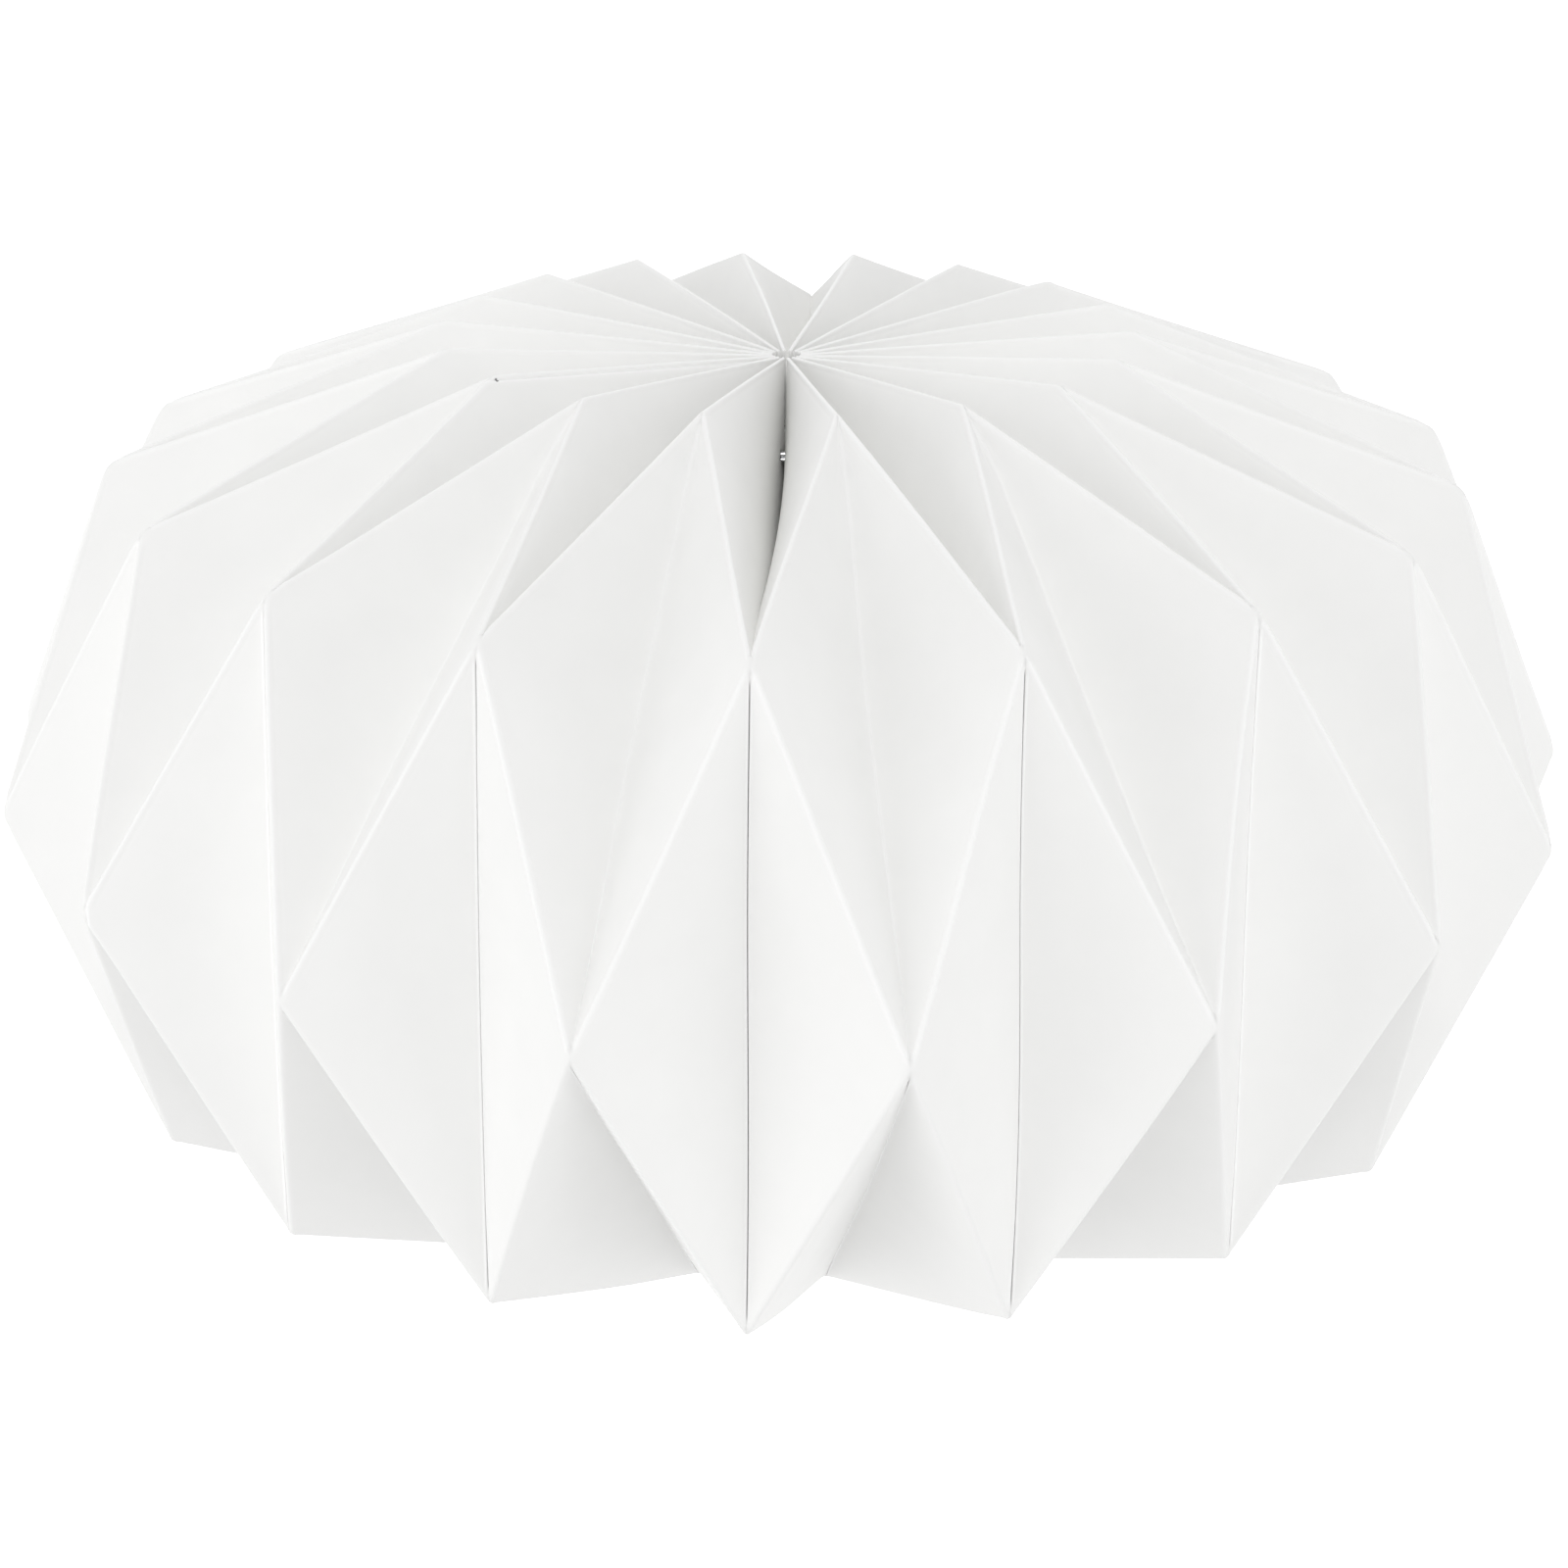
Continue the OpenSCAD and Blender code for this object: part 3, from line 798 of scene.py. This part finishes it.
class SHADE_OT_fold_pleats(bpy.types.Operator):
    """Fold the scored sheet: eighteen pleats, each as two panels that meet on its ridge"""

    bl_idname = "shade.fold_pleats"
    bl_label = "Fold Pleats"

    def execute(self, context):
        shade = context.scene.shade_settings
        sheet = FoldedSheet(shade)
        plain, lapped = half_pleat(sheet, False), half_pleat(sheet, True)
        paper = die_scored_paper(shade, "die_scored_paper")
        for k in range(1, PLEATS + 1):
            for side, word in ((-1, "left"), (1, "right")):
                made, finish = plain, paper
                if k in LAPPED_PLEATS and side > 0:
                    out, along = pleat_axes(k)
                    # The painted shade of the pinhole, a dark dot, is beside the ridge, by the shoulder
                    spot = shade.shoulder_radius * out + 1.1 * along
                    spot[2] = shade.shoulder_height - 0.6
                    spot = wander(spot[None], shade.unevenness)[0]
                    made = lapped
                    finish = die_scored_paper(shade, f"die_scored_paper_pinhole_shaded_{k:02d}", [spot * MM])
                piece = sheet_piece(f"pleat_{k:02d}_{word}_panel", made, k, side, sheet, finish)
                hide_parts(f"pleat_{k:02d}")
        return {"FINISHED"}


class SHADE_OT_glue_laps(bpy.types.Operator):
    """Lay the end panel of each sheet under the first panel of the next"""

    bl_idname = "shade.glue_laps"
    bl_label = "Glue Laps"

    def execute(self, context):
        shade = context.scene.shade_settings
        sheet = FoldedSheet(shade)
        made = glued_layer(sheet)
        paper = die_scored_paper(shade, "die_scored_paper_under_layer")
        for k, node in LAPPED_PLEATS.items():
            piece = sheet_piece(f"{node}_layer", made, k, 1, sheet, paper)
            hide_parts(node)
        return {"FINISHED"}


# ---------------------------------------------------------------- the split ring


def wire_outline(ring):
    """Half-round-edged section of the flattened wire, as (radial, height) points."""
    flat, r = (ring.wire_width - ring.wire_height) / 2, ring.wire_height / 2
    points = []
    for side, start in ((1, -math.pi / 2), (-1, math.pi / 2)):
        for i in range(9):
            a = start + math.pi * i / 8
            points.append((side * flat + r * math.cos(a), r * math.sin(a)))
    return points


class SHADE_OT_wind_ring(bpy.types.Operator):
    """Wind the two-turn split ring, with its crossover at the back and cut ends beside it"""

    bl_idname = "shade.wind_ring"
    bl_label = "Wind Split Ring"

    def execute(self, context):
        ring = context.scene.ring_settings
        outline = wire_outline(ring)
        level = (ring.wire_height + ring.turn_gap) / 2
        jog = ring.crossover
        sweep = 4 * math.pi - jog
        count = 420
        points, faces, n = [], [], len(outline)
        for i in range(count + 1):
            t = sweep * i / count
            step = smooth((t - (2 * math.pi - jog)) / jog)
            height = level * (1 - 2 * float(step))
            # The crossover sits at the back, and the ends are ground to a short taper
            end = min(t, sweep - t) * ring.radius / 0.5
            size = 1 if end >= 1 else 0.72 + 0.28 * math.sqrt(max(0.0, 1 - (1 - end) ** 2))
            a = math.pi / 2 + t
            for x, z in outline:
                r = ring.radius + x * size
                points.append((r * math.cos(a) * MM, r * math.sin(a) * MM, (height + z * size) * MM))
        for i in range(count):
            for j in range(n):
                k = (j + 1) % n
                faces.append([i * n + j, (i + 1) * n + j, (i + 1) * n + k, i * n + k])
        faces.append(list(range(n)))
        faces.append([count * n + j for j in reversed(range(n))])
        data = bpy.data.meshes.new("split_ring_wire")
        data.from_pydata(points, [], faces)
        data.shade_smooth()
        data.update()
        piece = bpy.data.objects.new("split_ring_wire", data)
        context.scene.collection.objects.link(piece)
        data.materials.append(polished_spring_steel(ring))
        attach(piece, "ring")
        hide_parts("split_ring")
        return {"FINISHED"}


# ---------------------------------------------------------------- stage


def add_softbox(name, azimuth, elevation, size, power):
    """A square diffused lamp turned towards the shade. Azimuth counts from the front, to the right."""
    lamp = bpy.data.lights.new(name, "AREA")
    lamp.shape = "SQUARE"
    lamp.size, lamp.energy = size, power
    a, e = math.radians(azimuth), math.radians(elevation)
    aim = Vector((0, 0, -0.08))
    towards = Vector((math.sin(a) * math.cos(e), -math.cos(a) * math.cos(e), math.sin(e)))
    holder = bpy.data.objects.new(name, lamp)
    holder.location = aim + SOFTBOX_DISTANCE * towards
    holder.rotation_euler = (-towards).to_track_quat("-Z", "Y").to_euler()
    bpy.context.scene.collection.objects.link(holder)


class SHADE_OT_set_stage(bpy.types.Operator):
    """Set the plain floor, the soft studio lamps and the camera"""

    bl_idname = "shade.set_stage"
    bl_label = "Set Stage"

    def execute(self, context):
        stage = context.scene.stage_settings
        reach = 40.0
        data = bpy.data.meshes.new("studio_floor")
        z = -stage.floor_drop
        corners = [(-reach, -reach, z), (reach, -reach, z), (reach, reach, z), (-reach, reach, z)]
        data.from_pydata(corners, [], [(0, 1, 2, 3)])
        floor = bpy.data.objects.new("studio_floor", data)
        context.scene.collection.objects.link(floor)
        data.materials.append(matt_studio_floor(stage))
        # The floor glows for the view and throws no light of its own, which the walls' light stands for
        floor.visible_diffuse = False
        floor.visible_shadow = False

        for lamp in SOFTBOXES:
            add_softbox(*lamp)

        world = context.scene.world or bpy.data.worlds.new("white_studio")
        context.scene.world = world
        world.use_nodes = True
        tree = world.node_tree
        tree.nodes.clear()
        seen = put(tree, "ShaderNodeLightPath").outputs["Is Camera Ray"]
        strength = put(tree, "ShaderNodeMapRange", {"Value": seen, "To Min": WALL_LIGHT, "To Max": 1.0})
        sky = put(tree, "ShaderNodeBackground", {"Color": linear("FFFFFF"),
                                                 "Strength": strength.outputs["Result"]})
        out = put(tree, "ShaderNodeOutputWorld")
        tree.links.new(sky.outputs["Background"], out.inputs["Surface"])
        # White paper on white needs its tones kept straight, not rolled off
        context.scene.view_settings.view_transform = "Standard"
        # Light crosses many times between the pleats before it dies in the paper
        context.scene.cycles.diffuse_bounces = 12

        camera = bpy.data.cameras.new("studio_camera")
        camera.sensor_width = 36.0
        camera.lens = stage.lens
        holder = bpy.data.objects.new("studio_camera", camera)
        context.scene.collection.objects.link(holder)
        azimuth, pitch, roll = stage.camera_azimuth, stage.camera_pitch, stage.camera_roll
        level = Vector((-math.sin(azimuth), math.cos(azimuth), 0))
        forward = level * math.cos(pitch) - Vector((0, 0, math.sin(pitch)))
        right = Vector((math.cos(azimuth), math.sin(azimuth), 0))
        up = right.cross(forward)
        right, up = right * math.cos(roll) + up * math.sin(roll), up * math.cos(roll) - right * math.sin(roll)
        turn = Matrix((right, up, -forward)).transposed().to_4x4()
        place = Vector((0, 0, stage.camera_height)) - level * stage.camera_distance
        holder.matrix_world = Matrix.Translation(place) @ turn
        context.scene.camera = holder
        return {"FINISHED"}


class SHADE_PT_sidebar(bpy.types.Panel):
    """Lists the steps that make the shade"""

    bl_label = "Pleated Paper Shade"
    bl_idname = "SHADE_PT_sidebar"
    bl_space_type = "VIEW_3D"
    bl_region_type = "UI"
    bl_category = "Shade"

    def draw(self, context):
        layout = self.layout
        for settings, operators in (
            (context.scene.shade_settings, (SHADE_OT_fold_pleats, SHADE_OT_glue_laps)),
            (context.scene.ring_settings, (SHADE_OT_wind_ring,)),
            (context.scene.stage_settings, (SHADE_OT_set_stage,)),
        ):
            box = layout.box()
            for name in settings.bl_rna.properties.keys():
                if name not in ("rna_type", "name"):
                    box.prop(settings, name)
            for operator in operators:
                box.operator(operator.bl_idname)


CLASSES = (ShadeSettings, RingSettings, StageSettings, SHADE_OT_fold_pleats, SHADE_OT_glue_laps,
           SHADE_OT_wind_ring, SHADE_OT_set_stage, SHADE_PT_sidebar)


def register():
    for cls in CLASSES:
        bpy.utils.register_class(cls)
    bpy.types.Scene.shade_settings = bpy.props.PointerProperty(type=ShadeSettings)
    bpy.types.Scene.ring_settings = bpy.props.PointerProperty(type=RingSettings)
    bpy.types.Scene.stage_settings = bpy.props.PointerProperty(type=StageSettings)


def unregister():
    del bpy.types.Scene.shade_settings
    del bpy.types.Scene.ring_settings
    del bpy.types.Scene.stage_settings
    for cls in reversed(CLASSES):
        bpy.utils.unregister_class(cls)


def main():
    register()
    bpy.ops.shade.fold_pleats()
    bpy.ops.shade.glue_laps()
    bpy.ops.shade.wind_ring()
    bpy.ops.shade.set_stage()
    bpy.context.view_layer.update()


if __name__ == "__main__":
    main()
